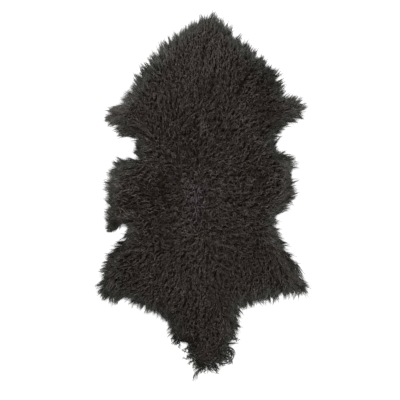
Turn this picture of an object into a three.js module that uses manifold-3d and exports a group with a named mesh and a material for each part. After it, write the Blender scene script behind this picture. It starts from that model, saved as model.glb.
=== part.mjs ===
// Sheepskin shag rug: one whole curly-wool pelt lying flat, wool side up, neck towards +Y.
// Millimetres, +Z up. The underside lies on z = 0 and the origin is the middle of the footprint.
import * as THREE from "three";
import { mergeVertices } from "three/addons/utils/BufferGeometryUtils.js";
import Module from "manifold-3d";

const wasm = await Module();
wasm.setup();

// Fleece sizes
const PILE_HEIGHT = 36; // mean top of the wool over the back
const RIM_HEIGHT = 9; // wool at the very edge of the pelt
const SHOULDER = 48; // the wool rounds down to the rim over this distance
const TUFT_PITCH = 15.5; // spacing of the points that tufts and hollows are drawn on
const TUFT_CREST = 8; // how far the tallest tuft stands above the mean pile
const TUFT_HOLLOW = 6; // how far the deepest hollow between tufts lies below it
const TUFT_EVEN = 0.3; // share of crest and hollow that all tufts have, the rest is uneven
const TUFT_STRAY = 9; // span over which a point strays from even spacing
const TUFT_LEAN = 6; // how far a tuft's crest is combed away from the spine
const TUFT_EDGE = 26; // tufts grow to their full relief over this distance from the rim
const SWELL_RELIEF = 3; // long low swells that lumps of fleece make in the pile
const SWELL_LENGTH = 110;

// The wool parts along the middle of the back, which leaves a shallow trough
const PARTING = { x: -4, y: -25, depth: 7, halfWidth: 22, halfLength: 95 };

// The spine, from which the wool lies outwards on all sides
const SPINE = { x: 0, front: 190, back: -190 };

// Locks of wool that hang over the rim and lie on the floor
const LOCK_COUNT = 188;
const LOCK_STEPS = 3;
const LOCK_SIDES = 4; // of which the floor leaves the upper two and a level underside
const LOCK_LENGTH = 23; // beyond the rim, the mean of all locks
const LOCK_UNEVEN = 0.36; // share by which a lock may be longer or shorter
const LOCK_SHORTEST = 9;
const LOCK_CLEARANCE = 0.72; // share of its own length that a tip keeps from the pelt
const LOCK_SHORTENING = 3; // step by which a lock that comes too near is made shorter
const LOCK_BURY = 12; // length of the root inside the pelt
const LOCK_WIDTH = 17;
const LOCK_HEIGHT = 9;
const LOCK_SUNK = 1.5; // the broadest line of a lock lies this much below the floor
const LOCK_TAPER = 0.62; // under 1 keeps a lock full until near its tip
const LOCK_WAVE = 3; // sideways wave of a lock
const LOCK_FOLLOW = 0.35; // 0 stands square to the rim, 1 follows the lie of the wool

// The pelt's outline, one row for each section across the hide from neck to tail
// y is measured towards the neck, left and right are the edges of the hide in that section
const SECTIONS = [
  { name: "neck tip", y: 451, left: 6, right: 28 },
  { name: "neck front", y: 425, left: -34, right: 59 },
  { name: "neck", y: 389, left: -82, right: 101 },
  { name: "neck middle", y: 347, left: -121, right: 149 },
  { name: "neck base", y: 306, left: -154, right: 188 },
  { name: "shoulder", y: 264, left: -176, right: 199 },
  { name: "foreleg front", y: 246, left: -193, right: 222 },
  { name: "foreleg", y: 235, left: -203, right: 247 },
  { name: "foreleg tip", y: 214, left: -228, right: 249 },
  { name: "foreleg heel", y: 194, left: -219, right: 217 },
  { name: "foreleg back", y: 173, left: -203, right: 197 },
  { name: "armpit", y: 144, left: -161, right: 183 },
  { name: "chest", y: 111, left: -160, right: 187 },
  { name: "right belly front", y: 95, left: -161, right: 209 },
  { name: "belly front", y: 82, left: -186, right: 227 },
  { name: "left belly front", y: 72, left: -215, right: 228 },
  { name: "belly", y: 30, left: -230, right: 226 },
  { name: "belly back", y: -22, left: -232, right: 218 },
  { name: "right belly back", y: -43, left: -233, right: 192 },
  { name: "left belly back", y: -70, left: -232, right: 186 },
  { name: "flank front", y: -82, left: -209, right: 186 },
  { name: "flank", y: -89, left: -184, right: 186 },
  { name: "flank back", y: -126, left: -199, right: 200 },
  { name: "thigh", y: -163, left: -228, right: 223 },
  { name: "hind leg", y: -204, left: -245, right: 247 },
  { name: "hind leg tip", y: -238, left: -254, right: 264 },
  { name: "hind leg heel", y: -255, left: -251, right: 196 },
  { name: "hind leg back", y: -266, left: -204, right: 146 },
  { name: "rump", y: -285, left: -142, right: 96 },
  { name: "rump back", y: -324, left: -77, right: 84 },
  { name: "tail root", y: -367, left: -66, right: 77 },
  { name: "tail front", y: -379, left: -50, right: 69 },
  { name: "tail step", y: -389, left: -25, right: 65 },
  { name: "tail", y: -423, left: -19, right: 60 },
  { name: "tail tip", y: -447, left: 4, right: 27 },
];

// A repeatable uneven number from 0 to 1 for a pair of whole numbers
function uneven(first, second = 0) {
  const wide = Math.sin(first * 12.9898 + second * 78.233) * 43758.5453;
  return wide - Math.floor(wide);
}

// The hide's two edges as smooth lines through the sections
const EDGE_STEPS = 8 * (SECTIONS.length - 1);
const edges = ["left", "right"].map((side) => {
  const places = SECTIONS.map((section) => new THREE.Vector2(section[side], section.y));
  return new THREE.SplineCurve(places).getPoints(EDGE_STEPS);
});

function edgeAt(edge, y) {
  const next = Math.max(1, edge.findIndex((point) => point.y <= y));
  const from = edge[next - 1];
  const to = edge[next];
  return from.x + ((to.x - from.x) * (y - from.y)) / (to.y - from.y);
}

// Rows of points across the hide from tail to neck, every second row set half a step over
// Every third point inside the rim is the crest of a tuft and the points around it are hollows
function layRows() {
  const tail = SECTIONS[SECTIONS.length - 1].y;
  const length = SECTIONS[0].y - tail;
  const steps = Math.round(length / (TUFT_PITCH * Math.sin(Math.PI / 3)));
  return Array.from({ length: steps + 1 }, (_, row) => {
    const y = tail + (length * row) / steps;
    const [left, right] = edges.map((edge) => edgeAt(edge, y));
    const points = [{ place: new THREE.Vector2(left, y), relief: 0 }];
    const shift = (row % 2) / 2;
    const first = Math.ceil(left / TUFT_PITCH + 0.5 - shift);
    const last = Math.floor(right / TUFT_PITCH - 0.5 - shift);
    for (let column = first; column <= last; column++) {
      const third = (column - Math.floor(row / 2) - row) % 3;
      const size = TUFT_EVEN + (1 - TUFT_EVEN) * uneven(column, row);
      const relief = size * (third === 0 ? TUFT_CREST : -TUFT_HOLLOW);
      const stray = [0, 1].map((axis) => TUFT_STRAY * (uneven(row + axis, column) - 0.5));
      const place = new THREE.Vector2((column + shift) * TUFT_PITCH + stray[0], y + stray[1]);
      points.push({ place, relief });
    }
    points.push({ place: new THREE.Vector2(right, y), relief: 0 });
    return points;
  });
}

const rows = layRows();
const grid = rows.flat();
const rim = [
  ...rows[0],
  ...rows.slice(1, -1).map((row) => row[row.length - 1]),
  ...rows[rows.length - 1].toReversed(),
  ...rows.slice(1, -1).map((row) => row[0]).reverse(),
];
const outline = new THREE.Path(rim.map(({ place }) => place));
outline.closePath();

// Distance from a point to the nearest place of the rim
const RIM_STEP = 5;
const rimPlaces = outline.getSpacedPoints(Math.round(outline.getLength() / RIM_STEP));

function distanceToRim(place) {
  return Math.min(...rimPlaces.map((rimPlace) => rimPlace.distanceTo(place)));
}

// The direction in which the wool lies at a point: straight away from the spine
function lieOfWool(place) {
  const nearest = new THREE.Vector2(SPINE.x, THREE.MathUtils.clamp(place.y, SPINE.back, SPINE.front));
  return place.clone().sub(nearest).normalize();
}

function partingDepth({ x, y }) {
  const across = (x - PARTING.x) / PARTING.halfWidth;
  const along = (y - PARTING.y) / PARTING.halfLength;
  return PARTING.depth * Math.exp(-across * across - along * along);
}

// The top of the wool over one point of the rows
function topOfWool({ place, relief }) {
  const inland = distanceToRim(place);
  const roundOver = Math.sqrt(1 - (1 - Math.min(1, inland / SHOULDER)) ** 2);
  const turn = (2 * Math.PI) / SWELL_LENGTH;
  const swell = SWELL_RELIEF * Math.sin(turn * (place.x + place.y / 2)) * Math.cos(turn * place.y);
  const pile = PILE_HEIGHT - RIM_HEIGHT + swell - partingDepth(place);
  const tufted = Math.min(1, inland / TUFT_EDGE);
  const lean = relief > 0 ? TUFT_LEAN * tufted : 0;
  const combed = place.clone().addScaledVector(lieOfWool(place), lean);
  return new THREE.Vector3(combed.x, combed.y, RIM_HEIGHT + pile * roundOver + relief * tufted);
}

// Closed solid of a closed three.js geometry
function solidOf(geometry) {
  geometry.deleteAttribute("normal");
  geometry.deleteAttribute("uv");
  const merged = mergeVertices(geometry);
  return new wasm.Manifold(
    new wasm.Mesh({
      numProp: 3,
      vertProperties: merged.attributes.position.array,
      triVerts: new Uint32Array(merged.index.array),
    }),
  );
}

function geometryOf(solid) {
  const { vertProperties, triVerts } = solid.getMesh();
  const geometry = new THREE.BufferGeometry();
  geometry.setAttribute("position", new THREE.BufferAttribute(vertProperties, 3));
  geometry.setIndex(new THREE.BufferAttribute(triVerts, 1));
  geometry.computeVertexNormals();
  return geometry;
}

// Triangles between two neighbouring rows, which may differ in their number of points
function stitch(lower, upper) {
  const triangles = [];
  let i = 0;
  let j = 0;
  while (i < lower.length - 1 || j < upper.length - 1) {
    const lowerNext = i < lower.length - 1 ? lower[i + 1].place.x : Infinity;
    const upperNext = j < upper.length - 1 ? upper[j + 1].place.x : Infinity;
    if (lowerNext <= upperNext) {
      triangles.push([lower[i], lower[i + 1], upper[j]]);
      i++;
    } else {
      triangles.push([lower[i], upper[j + 1], upper[j]]);
      j++;
    }
  }
  return triangles;
}

// The pelt's body: tufted top, straight rim, and an underside that the floor later cuts level
function fleeceSlab() {
  const number = new Map(grid.map((point, k) => [point, k]));
  const positions = [
    ...grid.map((point) => topOfWool(point)),
    ...grid.map(({ place }) => new THREE.Vector3(place.x, place.y, -LOCK_HEIGHT)),
  ];
  const faces = rows.slice(1).flatMap((upper, k) => stitch(rows[k], upper));
  const top = faces.map((face) => face.map((point) => number.get(point)));
  const bottom = top.map(([a, b, c]) => [a, c, b].map((k) => k + grid.length));
  const wall = rim.flatMap((point, k) => {
    const from = number.get(point);
    const to = number.get(rim[(k + 1) % rim.length]);
    return [
      [from + grid.length, to + grid.length, to],
      [from + grid.length, to, from],
    ];
  });
  const geometry = new THREE.BufferGeometry().setFromPoints(positions);
  geometry.setIndex([...top, ...bottom, ...wall].flat());
  return solidOf(geometry);
}

// What lies below the floor
function ground() {
  const reach = 2 * (SECTIONS[0].y - SECTIONS[SECTIONS.length - 1].y);
  return solidOf(new THREE.BoxGeometry(reach, reach, reach).translate(0, 0, -reach / 2));
}

// How far a lock can reach from its root before its tip comes near another part of the pelt
function clearLength(root, heading, wanted) {
  let length = wanted;
  while (length > LOCK_SHORTEST) {
    const tip = root.clone().addScaledVector(heading, length);
    if (distanceToRim(tip) > LOCK_CLEARANCE * length) break;
    length -= LOCK_SHORTENING;
  }
  return Math.max(length, LOCK_SHORTEST);
}

// One rim lock: a four-sided cone bent into a wave, its lower half under the floor
function rimLock(number) {
  const share = number / LOCK_COUNT;
  const root = outline.getPoint(share);
  const tangent = outline.getTangent(share);
  const heading = new THREE.Vector2(tangent.y, -tangent.x)
    .lerp(lieOfWool(root), LOCK_FOLLOW)
    .normalize();
  const side = new THREE.Vector2(heading.y, -heading.x);
  const wanted = LOCK_LENGTH * (1 + LOCK_UNEVEN * (2 * uneven(number) - 1));
  const length = clearLength(root, heading, wanted) + LOCK_BURY;
  const phase = 2 * Math.PI * uneven(number, 1);
  const cone = new THREE.ConeGeometry(1, 1, LOCK_SIDES, LOCK_STEPS);
  const corners = cone.attributes.position;
  for (let i = 0; i < corners.count; i++) {
    const along = corners.getY(i) + 0.5;
    const fullness = along < 1 ? (1 - along) ** (LOCK_TAPER - 1) : 0;
    const sway = LOCK_WAVE * along * Math.sin(2 * Math.PI * along + phase);
    const place = root
      .clone()
      .addScaledVector(heading, along * length - LOCK_BURY)
      .addScaledVector(side, (corners.getX(i) * fullness * LOCK_WIDTH) / 2 + sway);
    corners.setXYZ(i, place.x, place.y, corners.getZ(i) * fullness * LOCK_HEIGHT - LOCK_SUNK);
  }
  return solidOf(cone);
}

// Assembly
const wool = new THREE.MeshStandardMaterial({ color: 0x312d2a, roughness: 0.95, metalness: 0 });

function pelt() {
  let solid = fleeceSlab();
  for (let number = 0; number < LOCK_COUNT; number++) {
    solid = solid.add(rimLock(number));
  }
  solid = solid.subtract(ground());
  const mesh = new THREE.Mesh(geometryOf(solid), wool);
  mesh.name = "pelt";
  mesh.geometry.computeBoundingBox();
  const middle = mesh.geometry.boundingBox.getCenter(new THREE.Vector3());
  mesh.position.set(-middle.x, -middle.y, 0);
  return mesh;
}

const rug = new THREE.Group();
rug.name = "sheepskin_rug";
rug.add(pelt());

export default rug;
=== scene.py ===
"""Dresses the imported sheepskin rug: its tanned skin, the dense undercoat and the curly locks of dyed wool."""

import logging
import math
from dataclasses import KW_ONLY, dataclass, field
from enum import Enum
from functools import partial, reduce

import bmesh
import bpy
import numpy as np
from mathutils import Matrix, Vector
from mathutils.bvhtree import BVHTree
from mathutils.kdtree import KDTree


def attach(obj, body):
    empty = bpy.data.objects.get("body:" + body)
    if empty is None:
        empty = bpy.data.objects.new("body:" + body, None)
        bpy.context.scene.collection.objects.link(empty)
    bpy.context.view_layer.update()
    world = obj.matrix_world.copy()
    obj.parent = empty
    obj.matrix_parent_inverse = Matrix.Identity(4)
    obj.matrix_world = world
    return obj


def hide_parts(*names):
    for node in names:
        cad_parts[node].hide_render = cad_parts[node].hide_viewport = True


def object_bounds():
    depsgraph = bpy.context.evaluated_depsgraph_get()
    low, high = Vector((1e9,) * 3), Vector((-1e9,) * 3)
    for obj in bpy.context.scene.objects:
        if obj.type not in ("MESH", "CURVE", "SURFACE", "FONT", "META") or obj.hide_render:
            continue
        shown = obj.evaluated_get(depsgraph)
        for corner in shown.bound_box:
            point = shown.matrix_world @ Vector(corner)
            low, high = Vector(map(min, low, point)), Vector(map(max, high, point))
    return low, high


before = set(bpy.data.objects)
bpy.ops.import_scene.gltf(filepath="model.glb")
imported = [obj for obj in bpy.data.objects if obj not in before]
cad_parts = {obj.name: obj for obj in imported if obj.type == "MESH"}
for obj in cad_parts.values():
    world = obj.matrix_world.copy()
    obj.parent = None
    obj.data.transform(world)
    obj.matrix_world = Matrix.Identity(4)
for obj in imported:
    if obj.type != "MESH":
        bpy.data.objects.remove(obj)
CAD_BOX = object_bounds()

Array = np.ndarray
Draws = np.random.Generator
Piece = bpy.types.Object
Span = tuple[float, float]
Socket = bpy.types.NodeSocket
Value = Socket | float
NodeTree = bpy.types.ShaderNodeTree
log = logging.getLogger("rug")

MM = 0.001
TINY = 1e-9
BODY = "root"
NODE = "pelt"
UP = np.array([0.0, 0.0, 1.0])
LOW, HIGH = (np.array(corner[:2]) for corner in CAD_BOX)

# A lock has three sides and lies just clear of the floor.
SIDES = 3
FLOOR_GAP = 0.4 * MM

# The locks' map has a cell, with a margin, for each tone and shade of wool.
LOCK_MAP = "OFBake"
TONES = 40
CELL_MARGIN = 0.06

# How far up its lock the cap at the root reaches on the map, in rings.
CAP_RISE = 0.2

# The range of tones of loose curls.
CURL_TONES = (TONES // 4, TONES // 2)

# Fibre streaks around a lock, and bands along it that are painted light and shade of its crimps:
# how many there are around and along it, how they differ and stand out.
STREAKS_AROUND = 3
CRIMP_SHADES_ALONG = 14
STREAK_SCALE = 1.0
STREAK_DETAIL = 2.0
STREAK_SPAN = (0.35, 0.65)
STREAK_RELIEF = 0.4 * MM

# Mottling and nap of felted or buffed surfaces.
MOTTLE_DETAIL = 6.0
MOTTLE_ROUGHNESS = 0.65
MOTTLE_SPAN = (0.3, 0.7)
NAP_DETAIL = 4.0
NAP_RELIEF = 0.8 * MM

# The lowest and the highest reading of a share.
WHOLE = (0.0, 1.0)


class Ease(Enum):
    """How a share grows between its ends, in Blender's words."""

    EVEN = "LINEAR"
    SOFT = "SMOOTHSTEP"


class WoolKind(Enum):
    """The shades of wool on the pelt, each a row of the locks' map."""

    BACK = 0
    RIM = 1
    PARTING = 2


class Region(Enum):
    """Stretches of the fleece from neck to tail, each one piece, with the lowest y that belongs to it."""

    NECK = 0.270
    SHOULDERS = 0.150
    CHEST = 0.045
    BELLY = -0.060
    LOIN = -0.170
    HAUNCHES = -0.265
    TAIL = -1.0


def unit(vectors: Array) -> Array:
    """Vectors of length one in the same directions."""
    return vectors / np.maximum(np.linalg.norm(vectors, axis=-1, keepdims=True), TINY)


def turned(vectors: Array, angles: Array) -> Array:
    """Vectors of the floor, each turned to the left by its angle in radians."""
    x, y, cos, sin = vectors[..., 0], vectors[..., 1], np.cos(angles), np.sin(angles)
    return np.stack([x * cos - y * sin, x * sin + y * cos], axis=-1)


def eased(values: Array) -> Array:
    """Values from 0 to 1 with a soft start and a soft end."""
    held = np.clip(values, 0.0, 1.0)
    return held * held * (3 - 2 * held)


def blurred(values: Array, passes: int) -> Array:
    """Evens out a grid by averaging each point with its neighbours.

    Args:
        values: A grid of values.
        passes: How often each point is averaged.

    Returns:
        The smoother grid.
    """
    for _ in range(passes):
        padded = np.pad(values, 1, mode="edge")
        rows = (padded[:-2] + 2 * padded[1:-1] + padded[2:]) / 4
        values = (rows[:, :-2] + 2 * rows[:, 1:-1] + rows[:, 2:]) / 4
    return values


def blended(values: Array, first: Array, second: Array, part: Array) -> Array:
    """Blends the four values of a grid around each place in straight lines.

    Args:
        values: A grid of values.
        first: Grid numbers along x and y of the corner before each place.
        second: Grid numbers of the corner after it.
        part: How far each place lies from the first corner to the second.

    Returns:
        One value for each place.
    """
    i, j, i_next, j_next = first[..., 0], first[..., 1], second[..., 0], second[..., 1]
    across, along = part[..., 0], part[..., 1]
    near = values[i, j] * (1 - across) + values[i_next, j] * across
    far = values[i, j_next] * (1 - across) + values[i_next, j_next] * across
    return near * (1 - along) + far * along


def grid_points(low: Array, step: float, shape: Array) -> Array:
    """The points of an even grid over the floor, from its lowest corner."""
    return low + np.stack(np.indices(shape), axis=-1) * step


def placed(name: str, data: bpy.types.ID) -> Piece:
    """Puts a mesh, a lamp or a camera into the scene.

    Args:
        name: Name of the object.
        data: What the object shows.

    Returns:
        The object.
    """
    thing = bpy.data.objects.new(name, data)
    bpy.context.scene.collection.objects.link(thing)
    return thing


def modelled(name: str, shape: bmesh.types.BMesh) -> Piece:
    """Puts a modelled shape into the scene.

    Args:
        name: Name of the object and its mesh.
        shape: The shape, which is used up.

    Returns:
        The object.
    """
    data = bpy.data.meshes.new(name)
    shape.to_mesh(data)
    shape.free()
    return placed(name, data)


@dataclass(frozen=True)
class Field:
    """A quantity known on an even grid over the floor, such as the height of the pelt."""

    low: Array
    step: float
    values: Array

    def at(self, places: Array) -> Array:
        """Reads the field with straight-line blending between grid points.

        Args:
            places: Points of the floor, with x and y last.

        Returns:
            One value for each place.
        """
        grid = (places[..., :2] - self.low) / self.step
        cell = np.clip(np.floor(grid).astype(int), 0, np.array(self.values.shape) - 2)
        return blended(self.values, cell, cell + 1, np.clip(grid - cell, 0.0, 1.0))

    def slope(self, places: Array) -> Array:
        """How fast the field grows along x and y at each place."""
        grown = [self.at(places + step) - self.at(places - step) for step in np.eye(2) * self.step]
        return np.stack(grown, axis=-1) / (2 * self.step)


@dataclass(frozen=True)
class SlowNoise:
    """Smooth uneven values from -1 to 1 that change over a given length."""

    length: float
    seed: int
    size: int = 64

    def at(self, places: Array) -> Array:
        """Reads the noise.

        Args:
            places: Points of the floor, with x and y last.

        Returns:
            One value for each place.
        """
        lattice = np.random.default_rng(self.seed).uniform(-1, 1, (self.size, self.size))
        grid = places[..., :2] / self.length + self.size / 2
        cell = np.floor(grid).astype(int)
        return blended(lattice, cell % self.size, (cell + 1) % self.size, eased(grid - cell))


@dataclass(frozen=True)
class Patch:
    """A place on the pelt where something is more or less than elsewhere, strongest in its middle.

    Its middle and its half sizes are in millimetres, and it leans to the right by some degrees.
    """

    x: float
    y: float
    half_width: float
    half_length: float
    amount: float
    lean: float = 0.0

    def at(self, places: Array, scale: float = 1.0) -> Array:
        """What each place gets: the scaled amount in the patch's middle, and less and less away from it."""
        across, along = self.away(places)
        return self.amount * scale * np.exp(-(across**2) - along**2)

    def away(self, places: Array) -> tuple[Array, Array]:
        """Finds how far places are from the patch's middle.

        Args:
            places: Points of the floor.

        Returns:
            Distances across and along the patch, in half widths and half lengths.
        """
        right, up = places[..., 0] - self.x * MM, places[..., 1] - self.y * MM
        cosine, sine = math.cos(math.radians(self.lean)), math.sin(math.radians(self.lean))
        across = (right * cosine - up * sine) / (self.half_width * MM)
        along = (right * sine + up * cosine) / (self.half_length * MM)
        return across, along

    def sideways(self, places: Array) -> Array:
        """The amount of each place, with the other sign on the left of the patch and 0 in its middle."""
        return self.away(places)[0] * self.at(places)


def patches(**rows: tuple[float, ...]) -> dict[str, Patch]:
    """A table of patches, named for the part of the pelt that they lie on."""
    return {name: Patch(*row) for name, row in rows.items()}


def summed(table: dict[str, Patch], places: Array, scale: float = 1.0) -> Array:
    """What all patches of a table together give each place."""
    return sum(patch.at(places, scale) for patch in table.values())


# How many millimetres further in the wool's rim lies than the solid's, or further out where it is below 0.
RIM_SHIFTS = patches(
    neck_left=(-97, 386, 75, 65, -3),
    neck_left_dip=(-78, 420, 16, 14, 5),
    neck_tip=(17, 466, 9, 14, -9),
    neck_tip_left=(-14, 454, 12, 14, 6),
    neck_right=(142, 340, 70, 80, 3),
    neck_right_lock=(84, 418, 12, 20, 7),
    shoulder_right=(170, 331, 14, 14, 4),
    shoulder_right_notch=(214, 256, 14, 8, 8),
    foreleg_right_tip=(250, 206, 14, 14, -7),
    foreleg_right_low=(236, 190, 16, 10, -5),
    foreleg_left_tip=(-243, 194, 14, 14, -17),
    foreleg_left_top=(-218, 240, 22, 14, 9),
    foreleg_left_back=(-205, 156, 14, 12, -12),
    waist_left_front=(-178, 142, 11, 8, 8),
    waist_left_back=(-180, 97, 11, 10, 8),
    waist_right=(196, 153, 10, 17, 5),
    waist_left=(-174, 118, 12, 16, -11),
    belly_left_corner=(-205, 84, 18, 9, -8),
    belly_left_shoulder=(-226, 75, 14, 12, -9),
    belly_left_hook=(-234, -89, 18, 14, -24),
    belly_left_notch=(-207, -86, 10, 12, 26),
    belly_right_corner=(236, 82, 10, 16, 7),
    belly_right_top=(238, 48, 9, 22, 8),
    belly_right=(236, -5, 12, 14, -9),
    flank_right=(197, -66, 9, 20, 6),
    hind_left_front=(-248, -168, 20, 30, -4),
    hind_left_tip=(-257, -268, 16, 14, -9),
    hind_left_back=(-203, -277, 26, 9, 8),
    hind_right_front=(267, -212, 12, 16, 4),
    hind_right_tip=(264, -248, 14, 12, -14),
    hind_right_low=(230, -265, 26, 8, 4),
    hind_right_back=(121, -290, 12, 9, -5),
    tail=(18, -440, 70, 45, 5),
    tail_left=(-71, -377, 9, 9, -6),
    tail_step=(-48, -392, 16, 9, 17),
    tail_right=(92, -338, 10, 22, -7),
    tail_right_step=(74, -394, 12, 20, 12),
)

# How much lighter the wool is, or darker where it is below 0, as a share of the range of tones.
TONE_PATCHES = patches(
    neck=(-8, 355, 115, 90, 0.34),
    shoulder_left=(-150, 255, 75, 55, 0.12),
    shoulder_left_crest=(-112, 243, 28, 30, 0.14),
    waist_left=(-165, 115, 30, 50, -0.20),
    shoulder_left_rim=(-160, 312, 32, 38, -0.42),
    shoulder_right=(158, 318, 32, 60, -0.34),
    foreleg_left=(-225, 205, 32, 40, 0.38),
    foreleg_left_top=(-212, 236, 28, 18, 0.10),
    foreleg_right=(242, 238, 28, 28, 0.36),
    withers=(90, 200, 35, 45, 0.22),
    chest_tuft=(-5, 178, 6, 6, 0.5),
    ribs_right=(160, 165, 35, 55, -0.20),
    ribs_right_low=(150, 10, 30, 55, -0.16),
    belly_left_rim=(-214, 40, 22, 40, 0.20),
    belly_left=(-115, -15, 62, 72, -0.24),
    hind_left_front=(-208, -128, 28, 26, -0.55),
    belly_right_corner=(222, 82, 28, 26, 0.55),
    belly_right=(190, -5, 30, 55, 0.10),
    flank_right=(196, -150, 32, 60, -0.18),
    parting=(-22, 8, 22, 48, 0.28),
    loin_ridge=(-6, -80, 32, 70, 0.14),
    loin=(-50, -225, 70, 55, 0.14),
    hind_right_tip=(258, -232, 24, 30, 0.25),
    flank_left=(-205, -175, 40, 45, -0.16),
    hind_left=(-208, -268, 45, 40, -0.18),
    rump_left=(-100, -312, 48, 38, -0.18),
    rump=(-6, -272, 32, 30, 0.08),
    tail=(20, -345, 40, 40, 0.08),
    tail_left=(-58, -362, 32, 40, -0.28),
    tail_right=(84, -320, 26, 42, -0.20),
    tail_end_left=(-10, -425, 26, 40, -0.16),
    tail_end=(34, -425, 36, 40, 0.08),
    belly_left_hook=(-224, -72, 28, 24, -0.25),
    nape=(-7, 346, 22, 22, -0.10),
    neck_right=(97, 400, 26, 26, -0.12),
    ribs_left=(-58, 88, 26, 26, 0.12),
    flank_right_top=(196, -66, 22, 26, -0.16),
)

# Where the wool parts in a long furrow, or stands proud in a ridge where it is above 0.
# The usual streaks of the wool are about 1 deep.
# Locks in a furrow are painted darker, as painted shade, and locks on a ridge lighter, as painted light.
FURROW_LINES = patches(
    nape_ridge=(38, 360, 8, 32, 2.0, 23),
    nape=(3, 368, 4.5, 28, -4.5, 8),
    withers=(24, 285, 4.5, 32, -5.5, 13),
    shoulder=(100, 279, 4.5, 44, -5.5, 27),
    chest_tuft=(-5, 183, 6, 7, 3.0),
    chest=(-19, 178, 5, 13, -5.0),
)

# How much further inland the rim's grey reaches, or less far where it is below 0, as a share of the locks.
GREY_PATCHES = patches(
    neck_left=(-125, 335, 45, 52, 0.55),
    belly_left=(-215, 5, 26, 60, -0.25),
    neck_right=(122, 345, 38, 70, 0.45),
    hind_right=(165, -252, 70, 16, 0.40),
    tail_end=(15, -420, 60, 50, -0.30),
)

# Where grey and brown wool grow evenly mixed right up to the rim, as a share of the locks.
MIXED_PATCHES = patches(
    foreleg_left=(-225, 210, 30, 34, 1.0),
    foreleg_right=(245, 218, 40, 40, 1.0),
    belly_right=(215, 15, 40, 85, 1.0),
    hind_right=(238, -190, 60, 65, 1.0),
    hind_left=(-220, -190, 50, 65, 1.0),
    tail_left=(-48, -352, 30, 42, 0.8),
)

# Where the dye has a purple cast, as a share of the locks.
PURPLE_PATCH = Patch(-14, -12, 24, 52, 1.2)

# How much more neighbouring locks differ in tone, or less where it is below 0, as a share of the usual.
CONTRAST_PATCHES = patches(
    nape=(-40, 321, 48, 32, -0.35),
    shoulder_left=(-140, 204, 36, 48, -0.35),
    chest=(-6, 165, 58, 48, 0.45),
    ribs_left=(-80, 118, 50, 30, 0.40),
    loin=(-32, -82, 28, 36, 0.25),
    rump=(33, -245, 55, 55, -0.40),
    rump_right=(150, -190, 70, 40, -0.40),
)

# How many degrees to the left of its usual lie the wool is combed, or to the right where it is below 0.
LIE_TURNS = patches(
    foreleg_left=(-215, 195, 45, 32, 26),
    foreleg_left_top=(-206, 242, 34, 24, 52),
    foreleg_right=(245, 205, 45, 38, -28),
    belly_right_corner=(215, 96, 30, 16, -26),
    belly_left_hook=(-230, -70, 32, 40, 20),
    belly_left_notch=(-186, -104, 24, 28, 45),
    hind_right=(252, -226, 62, 60, -45),
    rump_right=(150, -210, 75, 60, -35),
    hind_left=(-195, -262, 60, 38, 20),
    tail_left=(-72, -345, 34, 38, 28),
    tail_right=(88, -328, 28, 34, -20),
)

# Where the wool is combed out long and straight, as a share of the most.
COMBED_PATCHES = patches(
    belly_left=(-190, 22, 42, 48, 0.85),
    belly_right=(218, 30, 32, 70, 0.6),
)

# How much more the lengths of neighbouring bundles differ, or less where it is below 0, as a share.
RAGGED_PATCHES = patches(
    belly_left=(-240, 5, 30, 65, -0.2),
    hind_left=(-180, -285, 75, 26, 1.2),
    hind_right=(195, -268, 80, 24, 1.0),
    hind_right_front=(262, -185, 26, 45, -0.8),
)

# How many millimetres further past the rim the locks reach, or less far where it is below 0.
REACH_PATCHES = patches(
    neck_tip=(31, 463, 8, 8, -5),
    neck_left=(-105, 388, 8, 8, -5),
    neck_left_low=(-132, 355, 8, 10, -6),
    neck_right=(93, 405, 10, 10, -6),
    foreleg_left_top=(-207, 248, 14, 15, 9),
    foreleg_left_back=(-214, 152, 10, 9, -7),
    waist_left=(-185, 93, 14, 8, -5),
    belly_left=(-247, 28, 9, 38, -4),
    belly_right_top=(239, 50, 12, 17, -9),
    flank_right_top=(215, -41, 9, 8, -6),
    flank_right=(193, -81, 10, 10, 9),
    notch_left=(-201, -97, 10, 14, 9),
    hind_left_front=(-230, -140, 12, 12, 9),
    hind_left_low=(-205, -278, 26, 9, -7),
    hind_right_heel=(244, -259, 9, 9, -7),
    hind_right_gap=(192, -272, 9, 10, -8),
    tail_left_top=(-92, -337, 11, 14, -6),
    tail_end_left=(-17, -455, 11, 15, -10),
    tail_end_right=(58, -442, 14, 12, -14),
)

# How much less pointed the bundles at the rim are, as a share.
BLUNT_PATCHES = patches(
    neck=(0, 420, 210, 160, 0.7),
)

# Where loose hairs stand out further past the rim, and by how many millimetres.
WISPS = patches(
    foreleg=(-209, 243, 32, 32, 10),
    rump=(-102, -324, 30, 30, 8),
    belly=(230, 84, 24, 22, 14),
    belly_left=(-244, 0, 22, 70, 5),
)

# How many more fine hairs than elsewhere grow beside each lock of the rim.
HAIR_PATCHES = patches(
    foreleg=(-209, 243, 32, 32, 10),
    rump=(-102, -324, 30, 30, 10),
    belly=(230, 84, 24, 22, 10),
    belly_left=(-240, 0, 26, 70, 2.5),
    waist_left=(-172, 120, 16, 26, 3),
)


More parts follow.
